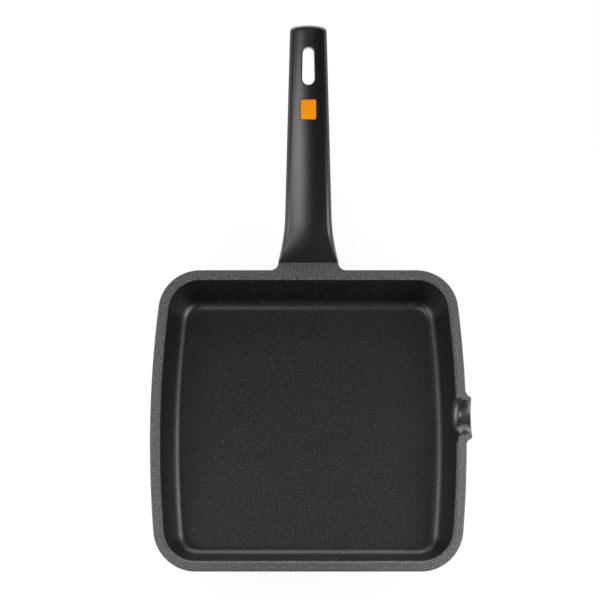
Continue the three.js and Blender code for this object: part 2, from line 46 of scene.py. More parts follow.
# Pan body
RIM_WIDTH = 281 * MM
RIM_LENGTH = 271.7 * MM
SIDE_RADIUS = 1020 * MM
CORNER_RADIUS = 37.5 * MM
HEIGHT = 50 * MM
FLOOR = 5 * MM
WALL = 4 * MM
DRAFT = math.radians(13)
FLOOR_FILLET = 10 * MM
BASE_FILLET = 12 * MM
FILLET_MARGIN = 3 * MM
LAND = 6.9 * MM
LAND_SHARES = (0.15, 0.88)
CHAMFER_WIDTH = 1.9 * MM
CHAMFER_DROP = 1.5 * MM
CHAMFER_BROW = 0.5 * MM
CHAMFER_FOOT = 0.7 * MM
BROW_DROP = 1 * MM
LIP_DEPTH = 7 * MM
LIP_ROOT = 13 * MM
LIP_ROUND = 0.8 * MM
LIP_UNDER_ROUND = 1.2 * MM
LIP_ROOT_ROUND = 2.5 * MM
FLOOR_SHARES = (0.85, 0.6, 0.3)

# Steps over the skin's rounded edges, and round the pan
BASE_STEPS = 8
LIP_STEPS = 4
LAND_STEPS = 8
BROW_STEPS = 5
FOOT_STEPS = 3
FLOOR_STEPS = 10
CORNER_STEPS = 22
LEFT_STEPS = 25
RIGHT_STEPS = 9
FRONT_STEPS = 17
BACK_STEPS = 8

# Spout
SPOUT_ZONE = 27 * MM
SPOUT_REACH = 4.9 * MM
SHORE_GAP = 1.3 * MM
FLARE_RADIUS = 8 * MM
HORN_Y = 17.7 * MM
MOUTH = 22.3 * MM
THROAT = 15.6 * MM
TIP = 17 * MM
FUNNEL = 7.5 * MM
SPOUT_DEPTH = 9.5 * MM
SPOUT_LIP = 14 * MM
SPOUT_ROOT = 27 * MM
SPOUT_EDGE = 0.9 * MM
SPOUT_EDGE_BROW = 0.45 * MM
SPOUT_BROW = 7.3 * MM
SHORE_STEPS = 9
EDGE_STEPS = 5
CHANNEL_STEPS = 27
FUNNEL_STEPS = 40
THROAT_STEPS = 20

# Lug and tang
LUG_ZONE = 37 * MM
LUG_GAP = 1 * MM
LUG_FACE = 143.25 * MM
LUG_HALF = 27.35 * MM
LUG_FILLET = 7 * MM
LUG_EDGE = 0.15 * MM
LUG_ROOT = 1.5 * MM
LUG_FILLET_STEPS = 9
LUG_FACE_STEPS = 25
TANG = (26 * MM, 32 * MM, 7 * MM)
TANG_FRAME = (math.radians(28), 9.627 * MM)
TANG_ROOT = 7.4 * MM
TANG_CORNER = 1.5 * MM
TANG_BEVEL = 0.4 * MM
INSERT_BORE = 4 * MM

# Base plate
PLATE_THICKNESS = 1.2 * MM
PLATE_MARGIN = 20 * MM
PLATE_CORNER = 24 * MM
PLATE_CORNER_STEPS = 14
PLATE_BEVEL = 0.25 * MM
STUD_RADIUS = 3 * MM
STUD_PITCH = 30 * MM
STUD_COUNT = 6
STUD_BEVEL = 0.3 * MM
STUD_TOP = 1.6 * MM
STUD_STEPS = 20
HOLE_SPAN = (-1 * MM, 2 * MM)
HOLE_STEPS = 28
CLEARANCE = 0.3 * MM

# Handle
LENGTH = 214.2 * MM
NECK = 36 * MM
ANGLES = tuple(math.radians(angle) for angle in (34, 22, 15))
WIDTHS = (44.9 * MM, 33.4 * MM)
FLARE_LENGTH = 42 * MM
FLARE_SPREAD = 4.9 * MM
THICKNESS = (22 * MM, 13.5 * MM)
CROWN = 2.0 * MM
CROWN_SHARE = 0.94
FLANK = (0.3 * MM, 4.3 * MM)
FLANK_BLEND = 30 * MM
FOLD = (0.47, 0.31)
FOLD_ROUND = 0.5 * MM
SHOULDER = 6.5 * MM
SHOULDER_ROUND = 1.6 * MM
SQUARENESS = 2.7
TIP_RADIUS = 4.2 * MM
TIP_DROP = 2.5 * MM
TIP_RISE = 5 * MM
TIP_BOW = 1.2 * MM
TIP_SHARPENING = 0.6
BOW_BLEND = 25 * MM
JOINT_ZONE = 50 * MM
JOINT_SEARCH = (-30 * MM, 6 * MM)
JOINT_HALVINGS = 30
CROWN_STEPS = 12
FOLD_STEPS = 4
SHOULDER_STEPS = 5
UNDER_STEPS = 19
UNDER_START = 3
JOINT_STEPS = 25
GRIP_STEPS = 56
TIP_STEPS = 13

# Hang slot and inlay
CUT_MARGIN = 4 * MM
SLOT_PLACE = LENGTH - 36.5 * MM
SLOT_LENGTH = 34 * MM
SLOT_RADII = (5.6 * MM, 5.05 * MM)
SLOT_ROUND = 1 * MM
SLOT_UNDER_ROUND = 3 * MM
SLOT_END_STEPS = 25
SLOT_ROUND_STEPS = 9
INLAY_PLACE = LENGTH - 75.7 * MM
INLAY = (14 * MM, 18 * MM, 1.4 * MM)
INLAY_GAP = 0.55 * MM
INLAY_CORNER = 1.2 * MM
INLAY_BEVEL = 0.6 * MM
INLAY_EDGE = ((0, 1), (0.08, 0.62), (0.3, 0.3), (0.62, 0.08), (1, 0))
INLAY_TOP_SHARES = (0.75, 0.5, 0.25)

# Screw and its bores, with heights along its axis from the middle of the tang
SCREW_ALONG = 17 * MM
SCREW_RADIUS = 2.5 * MM
SCREW_END = 3.2 * MM
SCREW_STEPS = 36
HEAD_RADIUS = 4.7 * MM
HEAD_HEIGHT = 2.8 * MM
HEAD_TOP = -10.3 * MM
HEAD_EDGE = 0.15 * MM
HEAD_SHARES = (0.25, 0.6)
HEAD_ROUND_STEPS = 9
THREAD_PITCH = 0.8 * MM
THREAD_DEPTH = 0.45 * MM
THREAD_START = 0.05 * MM
THREAD_STEPS = 8
RECESS = (5 * MM, 1.1 * MM, 1.6 * MM)
RECESS_TAPER = 0.5 * MM
RECESS_CORNERS = (0.3 * MM, 0.2 * MM)
RECESS_CORNER_STEPS = 3
RECESS_MARGIN = 1 * MM
BORE_BOTTOM = -9 * MM
BORE_STEPS = 40
COUNTERBORE = 5.3 * MM
COUNTERBORE_BOTTOM = -26 * MM
COUNTERBORE_STEPS = 56
CLAMP_FACE = -7.4 * MM


def lerp(a, b, share):
    return a + (b - a) * share


def spread(a, b, count):
    return [lerp(a, b, i / (count - 1)) for i in range(count)]


def smoothstep(x):
    x = min(max(x, 0), 1)
    return x * x * (3 - 2 * x)


# Meshes from points and faces
def smooth(mesh):
    mesh.polygons.foreach_set("use_smooth", [True] * len(mesh.polygons))


def new_object(name, points, faces, slots, face_slots=None):
    mesh = bpy.data.meshes.new(name)
    mesh.from_pydata([tuple(p) for p in points], [], faces)
    made = bpy.data.objects.new(name, mesh)
    bpy.context.collection.objects.link(made)
    for material in slots:
        mesh.materials.append(material)
    smooth(mesh)
    if face_slots:
        mesh.polygons.foreach_set("material_index", face_slots)
    return made


def shade(made, sharp):
    """Smooth shading that keeps the edges above an angle in degrees."""
    made.data.set_sharp_from_angle(angle=math.radians(sharp))
    normals = made.modifiers.new("normals", "WEIGHTED_NORMAL")
    normals.keep_sharp = True


def strip_faces(lines, rings=False):
    """Quads between neighbouring lines of equal point counts, and from the last line to the first."""
    count = len(lines[0])
    faces = []
    for i in range(len(lines)):
        a, b = i * count, (i + 1) % len(lines) * count
        for j in range(count if rings else count - 1):
            k = (j + 1) % count
            faces.append((a + j, b + j, b + k, a + k))
    return faces


def points_of(lines):
    return [point for line in lines for point in line]


def loft(rings):
    """Closed rings of equal point counts, with a flat face at each end."""
    count = len(rings[0])
    faces = [tuple(reversed(range(count)))]
    for ring in range(len(rings) - 1):
        a = ring * count
        for i in range(count):
            b = (i + 1) % count
            faces.append((a + i, a + b, a + count + b, a + count + i))
    faces.append(tuple((len(rings) - 1) * count + i for i in range(count)))
    return points_of(rings), faces


def joined(parts):
    """Several (points, faces) as one."""
    points, faces = [], []
    for some_points, some_faces in parts:
        faces += [tuple(len(points) + i for i in face) for face in some_faces]
        points += list(some_points)
    return points, faces


def cut(made, cutters):
    """Take the cutters, which are removed, out of the object."""
    for points, faces in cutters:
        tool = new_object(made.name + "_cutter", points, faces, [])
        step = made.modifiers.new("cut", "BOOLEAN")
        step.operation, step.solver, step.object = "DIFFERENCE", "EXACT", tool
        graph = bpy.context.evaluated_depsgraph_get()
        mesh = bpy.data.meshes.new_from_object(made.evaluated_get(graph))
        made.modifiers.clear()
        made.data = mesh
        bpy.data.objects.remove(tool)
    smooth(made.data)


def rounded_rectangle(width, length, radius, steps=8):
    points = []
    for x, y, start in ((1, 1, 0), (-1, 1, 90), (-1, -1, 180), (1, -1, 270)):
        for angle in spread(start, start + 90, steps + 1):
            turn = math.radians(angle)
            points.append((
                x * (width / 2 - radius) + radius * math.cos(turn),
                y * (length / 2 - radius) + radius * math.sin(turn),
            ))
    return points


def at_height(outline, z):
    return [Vector((x, y, z)) for x, y in outline]


def prism(outline, bottom, top):
    return loft([at_height(outline, z) for z in (bottom, top)])


def circle(radius, z, steps):
    turns = [2 * math.pi * i / steps for i in range(steps)]
    return [Vector((radius * math.cos(t), radius * math.sin(t), z)) for t in turns]


def cylinder(radius, bottom, top, steps):
    return loft([circle(radius, z, steps) for z in (bottom, top)])


def moved(form, matrix):
    points, faces = form
    return [matrix @ Vector(p) for p in points], faces


# The pan's outline and wall
def side_edge(y):
    return RIM_WIDTH / 2 - SIDE_RADIUS + math.sqrt(SIDE_RADIUS ** 2 - y ** 2)


def inner_inset(z):
    return LAND + CHAMFER_WIDTH + (HEIGHT - CHAMFER_DROP - z) * math.tan(DRAFT)


def outer_inset(z):
    return inner_inset(z) - WALL / math.cos(DRAFT)


def brow_inset(top):
    """How far from the outline the inner edge of the rim or of the channel lies, at its height."""
    drop = HEIGHT - top
    return LAND + CHAMFER_WIDTH * drop / CHAMFER_DROP if drop < CHAMFER_DROP else inner_inset(top)


CORNER_Y = RIM_LENGTH / 2 - CORNER_RADIUS
CORNER_X = RIM_WIDTH / 2 - SIDE_RADIUS + math.sqrt((SIDE_RADIUS - CORNER_RADIUS) ** 2 - CORNER_Y ** 2)
MEET = math.asin(CORNER_Y / (SIDE_RADIUS - CORNER_RADIUS))
HALF_TURN = math.tan((QUARTER - DRAFT) / 2)


def rounded(line):
    """Points along a line of (x, y, z, reach, steps) corners. An arc starts that far from its corner."""
    points = []
    for i, (x, y, z, reach, steps) in enumerate(line):
        corner = Vector((x, y, z))
        if not steps:
            points.append(corner)
            continue
        before = (Vector(line[i - 1][:3]) - corner).normalized()
        after = (Vector(line[i + 1][:3]) - corner).normalized()
        weight = math.sqrt(max(0, (1 - before.dot(after)) / 2))
        start, end = corner + before * reach, corner + after * reach
        for share in spread(0, 1, steps + 1):
            a, b, c = (1 - share) ** 2, 2 * share * (1 - share) * weight, share ** 2
            points.append((start * a + corner * b + end * c) / (a + b + c))
    return points


def skin_line(
    edge, wall_at, inner_at, land=None,
    top=HEIGHT, lip=LIP_DEPTH, root=LIP_ROOT, brow=CHAMFER_BROW,
):
    """One line over the pan's skin: from the base up the wall, over the rim and down to the floor."""
    drop = HEIGHT - top
    foot = HEIGHT - CHAMFER_DROP - drop
    if drop >= CHAMFER_DROP:
        foot = top - max(CHAMFER_DROP, brow + BROW_DROP)
    inner_edge = inner_at(brow_inset(top))
    if land is None:
        shares = spread(*LAND_SHARES, LAND_STEPS)
        land = [[lerp(a, b, share) for a, b in zip(edge, inner_edge)] for share in shares]
    base, base_reach = outer_inset(0), BASE_FILLET * HALF_TURN
    floor, floor_reach = inner_inset(FLOOR), FLOOR_FILLET * HALF_TURN
    return rounded([
        (*wall_at(base + base_reach + FILLET_MARGIN), 0, 0, 0),
        (*wall_at(base), 0, base_reach, BASE_STEPS),
        (*wall_at(outer_inset(HEIGHT - root)), HEIGHT - root, LIP_ROOT_ROUND, LIP_STEPS),
        (*edge, HEIGHT - lip, LIP_UNDER_ROUND, LIP_STEPS),
        (*edge, top, LIP_ROUND, LIP_STEPS),
        *((x, y, top, 0, 0) for x, y in land),
        (*inner_edge, top, brow, BROW_STEPS),
        (*inner_at(inner_inset(foot)), foot, CHAMFER_FOOT, FOOT_STEPS),
        (*inner_at(floor), FLOOR, floor_reach, FLOOR_STEPS),
        (*inner_at(floor + floor_reach + FILLET_MARGIN), FLOOR, 0, 0),
    ])


# Numbers of a line's points up to the top of the lip's edge, and up to the foot of the rim's chamfer
LIP_POINTS = 1 + (BASE_STEPS + 1) + 3 * (LIP_STEPS + 1)
RIM_POINTS = LIP_POINTS + LAND_STEPS + (BROW_STEPS + 1) + (FOOT_STEPS + 1)


def plain_line(point, normal):
    def at(inset):
        return point[0] - inset * normal[0], point[1] - inset * normal[1]
    return skin_line(at(0), at, at)


def arc_lines(x, y, radius, start, end, count):
    lines = []
    for turn in spread(start, end, count):
        normal = math.cos(turn), math.sin(turn)
        lines.append(plain_line((x + radius * normal[0], y + radius * normal[1]), normal))
    return lines


def straight_lines(start, end, count, side):
    return [plain_line((x, side * RIM_LENGTH / 2), (0, side)) for x in spread(start, end, count)]


def across_side(y):
    return lambda inset: (side_edge(y) - inset, y)


def across_back(x):
    return lambda inset: (x, RIM_LENGTH / 2 - inset)


def shore_line(turn, side):
    """A line over the rim beside the spout, where the lip flares out."""
    flare = math.acos(1 - SPOUT_REACH / FLARE_RADIUS)
    out = FLARE_RADIUS * (1 - math.cos(turn * flare))
    y = HORN_Y + FLARE_RADIUS * (math.sin(flare) - math.sin(turn * flare))
    share = out / SPOUT_REACH
    inner = lerp(SPOUT_ZONE - SHORE_GAP, MOUTH + SPOUT_EDGE, turn)
    return skin_line(
        (side_edge(y) + out, side * y), across_side(side * y), across_side(side * inner),
        lip=lerp(LIP_DEPTH, SPOUT_LIP, share), root=lerp(LIP_ROOT, SPOUT_ROOT, share),
    )


def channel_path(across, offset, top):
    """The way from the wall out to the spout's tip, as (inset, y), at a share of the channel's half width."""
    start = brow_inset(top)
    throat = LAND - FUNNEL
    path = []
    for turn in spread(0, QUARTER, FUNNEL_STEPS):
        inset = start - (start - throat) * (1 - math.cos(turn))
        path.append((inset, (MOUTH - (MOUTH - THROAT) * math.sin(turn)) * across + offset))
    for share in spread(0, 1, THROAT_STEPS)[1:]:
        path.append((lerp(throat, -SPOUT_REACH, share), lerp(THROAT, TIP, share ** 2) * across + offset))
    return np.array(path)


def channel_line(across, offset, top, side, brow):
    """A line along the spout's channel, at a share of its half width and a height."""
    path = channel_path(across, offset, top)
    along = np.concatenate([[0], np.cumsum(np.hypot(*np.diff(path, axis=0).T))])
    places = np.linspace(brow, along[-1] - LIP_ROUND, LAND_STEPS + 2)[1:-1][::-1]
    insets, shifts = (np.interp(places, along, part) for part in path.T)
    edge = side_edge(HORN_Y)
    land = [(edge - inset, side * shift) for inset, shift in zip(insets, shifts)]
    tip_y, mouth_y = side * path[-1, 1], side * path[0, 1]
    return skin_line(
        (edge + SPOUT_REACH, tip_y), across_side(tip_y), across_side(mouth_y),
        land, top, SPOUT_LIP, SPOUT_ROOT, brow,
    )


def bank_lines(side, slope, reach):
    """Lines over one shore and down the rounded edge of the channel."""
    lines = [shore_line(turn, side) for turn in spread(0, 1, SHORE_STEPS)]
    for angle in spread(0, slope, EDGE_STEPS):
        offset = reach - SPOUT_EDGE * math.sin(angle)
        top = HEIGHT - SPOUT_EDGE * (1 - math.cos(angle))
        lines.append(channel_line(1, offset, top, side, SPOUT_EDGE_BROW))
    return lines


def spout_lines():
    """Lines from the near shore through the channel to the far one, and which lie in the channel."""
    radius = (THROAT ** 2 + SPOUT_DEPTH ** 2) / (2 * SPOUT_DEPTH)
    slope = math.asin(THROAT / radius)
    reach = SPOUT_EDGE * math.tan(slope / 2)
    end = slope - reach / radius
    channel = []
    for angle in spread(end, -end, CHANNEL_STEPS)[1:-1]:
        top = HEIGHT - radius * (math.cos(angle) - math.cos(slope))
        brow = lerp(CHAMFER_BROW, SPOUT_BROW, math.cos(angle / slope * QUARTER))
        channel.append(channel_line(math.sin(angle) / math.sin(slope), 0, top, -1, brow))
    near, far = bank_lines(-1, slope, reach), bank_lines(1, slope, reach)
    inside = [False] * (len(near) - 1) + [True] * (len(channel) + 1) + [False] * len(far)
    return near + channel + far[::-1], inside


def lug_depth(x):
    """How deep the lug reaches under the rim's top at a place across it."""
    share = min(1, abs(x) / LUG_HALF)
    curve = (1 - share ** SQUARENESS) ** (1 / SQUARENESS)
    return (SHOULDER + (THICKNESS[0] - SHOULDER) * curve) / math.cos(ANGLES[0])


def lug_edges():
    """The rim's edge round the lug from right to left, and how many points lie on one side of it."""
    right = []
    for turn in spread(0, QUARTER, LUG_FILLET_STEPS):
        x = LUG_HALF + LUG_FILLET * (1 - math.sin(turn))
        right.append((x, RIM_LENGTH / 2 + LUG_FILLET * (1 - math.cos(turn))))
    right.append((LUG_HALF, LUG_FACE - LUG_EDGE))
    right.append((LUG_HALF - LUG_EDGE, LUG_FACE))
    face = [(LUG_HALF * math.cos(turn), LUG_FACE) for turn in spread(0, math.pi, LUG_FACE_STEPS)[2:-2]]
    return right + face + [(-x, y) for x, y in reversed(right)], len(right)


def lug_lines():
    """Lines over the back of the rim from right to left, out over the lug."""
    edges, side_count = lug_edges()
    start = LUG_ZONE - LUG_GAP
    lines = []
    for i, ((x, y), inner) in enumerate(zip(edges, spread(start, -start, len(edges)))):
        beside = min(i, len(edges) - 1 - i)
        wall_x = x
        if beside < side_count:
            wall_x = math.copysign(lerp(start, LUG_HALF - LUG_EDGE, beside / (side_count - 1)), x)
        out = smoothstep((y - RIM_LENGTH / 2) / LUG_FILLET)
        lip = lerp(LIP_DEPTH, lug_depth(x), out)
        root = max(LIP_ROOT, lip + LUG_ROOT)
        lines.append(skin_line((x, y), across_back(wall_x), across_back(inner), lip=lip, root=root))
    return lines


def corner_lines(side_x, side_y, start, end):
    return arc_lines(side_x * CORNER_X, side_y * CORNER_Y, CORNER_RADIUS, start, end, CORNER_STEPS)[:-1]


def pan_lines():
    """All lines over the skin, counter-clockwise from the spout, and which lie in its channel."""
    zone = math.asin(SPOUT_ZONE / SIDE_RADIUS)
    middle = RIM_WIDTH / 2 - SIDE_RADIUS
    lines, inside = spout_lines()
    lines += arc_lines(middle, 0, SIDE_RADIUS, zone, MEET, RIGHT_STEPS)[:-1]
    lines += corner_lines(1, 1, MEET, QUARTER)
    lines += straight_lines(CORNER_X, LUG_ZONE, BACK_STEPS, 1)
    lines += lug_lines()
    lines += straight_lines(-LUG_ZONE, -CORNER_X, BACK_STEPS, 1)[:-1]
    lines += corner_lines(-1, 1, QUARTER, math.pi - MEET)
    lines += arc_lines(-middle, 0, SIDE_RADIUS, math.pi - MEET, math.pi + MEET, LEFT_STEPS)[:-1]
    lines += corner_lines(-1, -1, math.pi + MEET, 3 * QUARTER)
    lines += straight_lines(-CORNER_X, CORNER_X, FRONT_STEPS, -1)[:-1]
    lines += corner_lines(1, -1, -QUARTER, -MEET)
    lines += arc_lines(middle, 0, SIDE_RADIUS, -MEET, -zone, RIGHT_STEPS)
    return lines, inside + [False] * (len(lines) - len(inside))


# The base plate's pocket, the studs and the tang
BASE_INSET = outer_inset(BASE_FILLET) + BASE_FILLET / math.cos(DRAFT)
PLATE_WIDTH = RIM_WIDTH - 2 * (BASE_INSET + PLATE_MARGIN)
PLATE_LENGTH = RIM_LENGTH - 2 * (BASE_INSET + PLATE_MARGIN)
POCKET_POINTS = 3


def pocket_edge(x, y):
    """Where the ray from the middle through a point leaves the base plate's pocket."""
    side_x, side_y = PLATE_WIDTH / 2 + CLEARANCE, PLATE_LENGTH / 2 + CLEARANCE
    ray = Vector((abs(x), abs(y))).normalized()
    edge = ray * min(side / max(part, 1e-9) for side, part in zip((side_x, side_y), ray))
    middle = Vector((side_x - PLATE_CORNER, side_y - PLATE_CORNER))
    if edge.x > middle.x and edge.y > middle.y:
        along = ray.dot(middle)
        edge = ray * (along + math.sqrt(along ** 2 - middle.length_squared + PLATE_CORNER ** 2))
    return math.copysign(edge.x, x), math.copysign(edge.y, y)


def with_pocket(line):
    """A line with the pocket's three points before it and the floor's points after it."""
    x, y = pocket_edge(line[0].x, line[0].y)
    deep = PLATE_THICKNESS + CLEARANCE
    start = [Vector((x / 2, y / 2, deep)), Vector((x, y, deep)), Vector((x, y, 0))]
    end = [Vector((line[-1].x * share, line[-1].y * share, FLOOR)) for share in FLOOR_SHARES]
    return start + line + end


def on_studs(form):
    """A form at the place of every stud."""
    row = [(i - (STUD_COUNT - 1) / 2) * STUD_PITCH for i in range(STUD_COUNT)]
    return joined([moved(form, Matrix.Translation((x, y, 0))) for x in row for y in row])


def studs():
    radius = STUD_RADIUS - CLEARANCE
    levels = ((radius - STUD_BEVEL, 0), (radius, STUD_BEVEL), (radius, STUD_TOP))
    return on_studs(loft([circle(r, z, STUD_STEPS) for r, z in levels]))


def tang_frame(along=0):
    turn = Matrix.Rotation(TANG_FRAME[0], 4, "X")
    start = Matrix.Translation((0, LUG_FACE, HEIGHT - TANG_FRAME[1]))
    return start @ turn @ Matrix.Translation((0, along, 0))


def tang():
    """A rounded bar with the bore for the threaded insert, as lines round its body through the bore."""
    width, length, deep = TANG
    half = deep / 2
    middle = (length - TANG_ROOT) / 2 - SCREW_ALONG
    lines = []
    for x, y in rounded_rectangle(width, length + TANG_ROOT, TANG_CORNER):
        y += middle
        turn = math.atan2(y, x)
        hole = INSERT_BORE * math.cos(turn), INSERT_BORE * math.sin(turn)
        near = 1 - TANG_BEVEL / math.hypot(x, y)
        lines.append([
            Vector((*hole, -half)),
            Vector((x * near, y * near, -half)),
            Vector((x, y, TANG_BEVEL - half)),
            Vector((x, y, half - TANG_BEVEL)),
            Vector((x * near, y * near, half)),
            Vector((*hole, half)),
        ])
    return moved((points_of(lines), strip_faces(lines, True)), tang_frame(SCREW_ALONG))


RIM_SLOT, FLOOR_SLOT, METAL_SLOT, SPOUT_SLOT = range(4)


def skin_slots(inside, count):
    """The material slot of every quad of the skin, whose lines have that many points."""
    rim_from, floor_from = POCKET_POINTS + LIP_POINTS - 1, POCKET_POINTS + RIM_POINTS - 1
    slots = []
    for in_channel in inside:
        slots += [RIM_SLOT] * rim_from
        slots += [SPOUT_SLOT if in_channel else RIM_SLOT] * (floor_from - rim_from)
        slots += [FLOOR_SLOT] * (count - 1 - floor_from)
    return slots


def make_pan():
    lines, inside = pan_lines()
    lines = [with_pocket(line) for line in lines]
    count = len(lines[0])
    faces = strip_faces(lines)
    faces.append(tuple(i * count for i in reversed(range(len(lines)))))
    faces.append(tuple(i * count + count - 1 for i in range(len(lines))))
    skin, bar, pegs = (points_of(lines), faces), tang(), studs()
    slots = skin_slots(inside, count) + [RIM_SLOT, FLOOR_SLOT]
    slots += [RIM_SLOT] * len(bar[1]) + [METAL_SLOT] * len(pegs[1])
    coats = [rim_coat, floor_coat, bare_metal, spout_coat]
    made = new_object("pan_skin", *joined([skin, bar, pegs]), coats, slots)
    shade(made, sharp=60)
    return made


# The handle
def along_arc(start, end_angle, length, distance):
    y, z, angle = start
    half = (end_angle - angle) * distance / length / 2
    chord = distance * math.sin(half) / half if half else distance
    return y + chord * math.cos(angle + half), z + chord * math.sin(angle + half), angle + 2 * half


def top_line(distance):
    neck = along_arc((0, 0, ANGLES[0]), ANGLES[1], NECK, min(distance, NECK))
    return neck if distance <= NECK else along_arc(neck, ANGLES[2], LENGTH - NECK, distance - NECK)


def on_handle(x, distance, height, back=0):
    y, z, angle = top_line(distance)
    along = Vector((0, math.cos(angle), math.sin(angle)))
    up = Vector((0, -math.sin(angle), math.cos(angle)))
    return Vector((x, LUG_FACE + y, HEIGHT + z)) + up * height + along * back


def handle_frame(distance):
    y, z, angle = top_line(distance)
    return Matrix.Translation((0, LUG_FACE + y, HEIGHT + z)) @ Matrix.Rotation(angle, 4, "X")


def half_width(distance):
    taper = lerp(*WIDTHS, distance / LENGTH) / 2
    radius = (FLARE_LENGTH ** 2 + FLARE_SPREAD ** 2) / (2 * FLARE_SPREAD)
    left = min(max(FLARE_LENGTH - distance, 0), FLARE_LENGTH)
    return taper + radius - math.sqrt(radius ** 2 - left ** 2)


def thickness(distance):
    return lerp(*THICKNESS, max(distance, 0) / LENGTH)


def blend(distance):
    return math.sin(min(max(distance / FLANK_BLEND, 0), 1) * QUARTER)


def crown_drop(x, distance):
    flat = half_width(distance) - lerp(*FLANK, blend(distance))
    return CROWN * blend(distance) * (x / flat) ** 2


def half_section(distance, rounding):
    """The right half of the handle's section from the top's middle to the underside's, as (x, height)."""
    drop = TIP_DROP * rounding
    width = half_width(max(distance, 0)) - TIP_RADIUS * rounding
    flat = width - lerp(*FLANK, blend(distance))
    crown = CROWN * blend(distance)
    shoulder = SHOULDER - drop
    deep = thickness(distance) - drop - TIP_RISE * rounding - shoulder
    soft = 1 - TIP_SHARPENING * rounding
    fold = lerp(flat, width, FOLD[0]), -lerp(crown, shoulder, FOLD[1])
    line = [(flat * s, 0, -crown * s ** 2, 0, 0) for s in spread(0, CROWN_SHARE, CROWN_STEPS)]
    line.append((flat, 0, -crown, FOLD_ROUND * soft, FOLD_STEPS))
    line.append((fold[0], 0, fold[1], FOLD_ROUND * soft, FOLD_STEPS))
    line.append((width, 0, -shoulder, SHOULDER_ROUND * soft, SHOULDER_STEPS))
    power = 2 / SQUARENESS
    for turn in spread(0, QUARTER, UNDER_STEPS)[UNDER_START:-1]:
        line.append((width * math.cos(turn) ** power, 0, -shoulder - deep * math.sin(turn) ** power, 0, 0))
    line.append((0, 0, -shoulder - deep, 0, 0))
    return [(p.x, p.z) for p in rounded(line)]


def handle_section(distance, rounding=0):
    right = half_section(distance, rounding)
    return right + [(-x, height) for x, height in reversed(right[1:-1])]


def handle_point(x, height, distance, rounding=0):
    bow = TIP_BOW * smoothstep((distance - LENGTH + BOW_BLEND) / BOW_BLEND)
    back = -bow * (x / (WIDTHS[1] / 2)) ** 2
    return on_handle(x, distance, height - TIP_DROP * rounding, back)


def handle_ring(distance, rounding=0):
    section = handle_section(distance, rounding)
    return [handle_point(x, height, distance, rounding) for x, height in section]


def joint_distance(index):
    """How far along the handle the section's point meets the joint with the lug."""
    low, high = JOINT_SEARCH
    for _ in range(JOINT_HALVINGS):
        middle = (low + high) / 2
        x, height = handle_section(middle)[index]
        if handle_point(x, height, middle).y < LUG_FACE + CLEARANCE:
            low = middle
        else:
            high = middle
    return high


def handle_rings():
    starts = [joint_distance(i) for i in range(len(handle_section(0)))]
    rings = []
    for share in spread(0, 1, JOINT_STEPS):
        ring = []
        for i, start in enumerate(starts):
            distance = lerp(start, JOINT_ZONE, share)
            ring.append(handle_point(*handle_section(distance)[i], distance))
        rings.append(ring)
    round_start = LENGTH - TIP_RADIUS
    rings += [handle_ring(distance) for distance in spread(JOINT_ZONE, round_start, GRIP_STEPS)[1:]]
    for turn in spread(0, QUARTER, TIP_STEPS)[1:]:
        rings.append(handle_ring(round_start + TIP_RADIUS * math.sin(turn), 1 - math.cos(turn)))
    return rings


def slot_ring(grow, height_at):
    near, far = SLOT_RADII
    ring = []
    for middle, radius, start in ((near - SLOT_LENGTH / 2, near, math.pi), (SLOT_LENGTH / 2 - far, far, 0)):
        for turn in spread(start, start + math.pi, SLOT_END_STEPS):
            x = (radius + grow) * math.cos(turn)
            distance = SLOT_PLACE + middle + (radius + grow) * math.sin(turn)
            ring.append(on_handle(x, distance, height_at(x, distance)))
    return ring


def slot_cutter():
    """The hang slot with its rounded edges, from below the handle to above it."""
    turns = spread(0, QUARTER, SLOT_ROUND_STEPS)
    rings = [slot_ring(SLOT_UNDER_ROUND, lambda x, d: -thickness(d) - CUT_MARGIN)]
    for turn in turns:
        grow, up = SLOT_UNDER_ROUND * (1 - math.sin(turn)), SLOT_UNDER_ROUND * (1 - math.cos(turn))
        rings.append(slot_ring(grow, lambda x, d: up - thickness(d)))
    for turn in turns:
        grow, down = SLOT_ROUND * (1 - math.cos(turn)), SLOT_ROUND * (1 - math.sin(turn))
        rings.append(slot_ring(grow, lambda x, d: -down - crown_drop(x, d)))
    rings.append(slot_ring(SLOT_ROUND, lambda x, d: CUT_MARGIN))
    return loft(rings)


def handle_cutters():
    width, length, deep = TANG
    half = deep / 2 + CLEARANCE
    socket = rounded_rectangle(width + 2 * CLEARANCE, length + CLEARANCE + CUT_MARGIN, TANG_CORNER)
    socket = [(x, y + (length + CLEARANCE - CUT_MARGIN) / 2) for x, y in socket]
    bore = cylinder(SCREW_RADIUS + CLEARANCE, BORE_BOTTOM, 0, BORE_STEPS)
    counterbore = cylinder(COUNTERBORE, COUNTERBORE_BOTTOM, CLAMP_FACE, COUNTERBORE_STEPS)
    wide, long, thick = INLAY
    recess = rounded_rectangle(wide + 2 * INLAY_GAP, long + 2 * INLAY_GAP, INLAY_CORNER + INLAY_GAP)
    return [
        moved(prism(socket, -half, half), tang_frame()),
        moved(counterbore, tang_frame(SCREW_ALONG)),
        moved(bore, tang_frame(SCREW_ALONG)),
        slot_cutter(),
        moved(prism(recess, -thick - CLEARANCE, CUT_MARGIN), handle_frame(INLAY_PLACE)),
    ]


def make_handle():
    made = new_object("handle_grip", *loft(handle_rings()), [grip_plastic])
    cut(made, handle_cutters())
    shade(made, sharp=38)
    return made


# The inlay, the base plate and the screw
def inlay_ring(outline, height):
    """An outline on the handle's top, at a height over its crown."""
    return [on_handle(x, INLAY_PLACE + y, height - crown_drop(x, INLAY_PLACE)) for x, y in outline]


